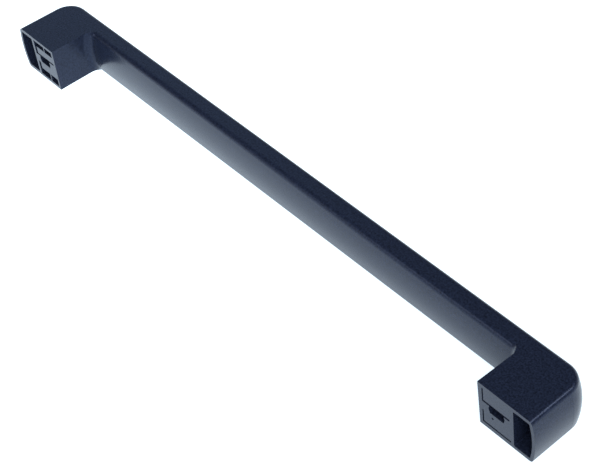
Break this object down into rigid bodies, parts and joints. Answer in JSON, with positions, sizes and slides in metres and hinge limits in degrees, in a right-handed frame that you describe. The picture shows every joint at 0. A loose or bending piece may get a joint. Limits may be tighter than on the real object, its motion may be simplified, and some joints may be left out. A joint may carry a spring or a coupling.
{
  "type": "door pull handle",
  "caption": "Long straight pull handle moulded in one piece, with a rounded grip bar and a hollow foot at each end that has a slotted fixing socket.",
  "frame": {"origin": "on the mounting plane of the feet, midway between the two feet and midway between the flat side faces", "axes": "+X along the bar, +Y from the mounting plane out to the front of the bar, +Z out of the upper flat side face"},
  "size_m": [0.4, 0.0371, 0.027],
  "materials": {
    "plastic": "satin, fine grain, dark navy-black"
  },
  "bodies": {
    "root": {"handle": "plastic"}
  },
  "joints": []
}
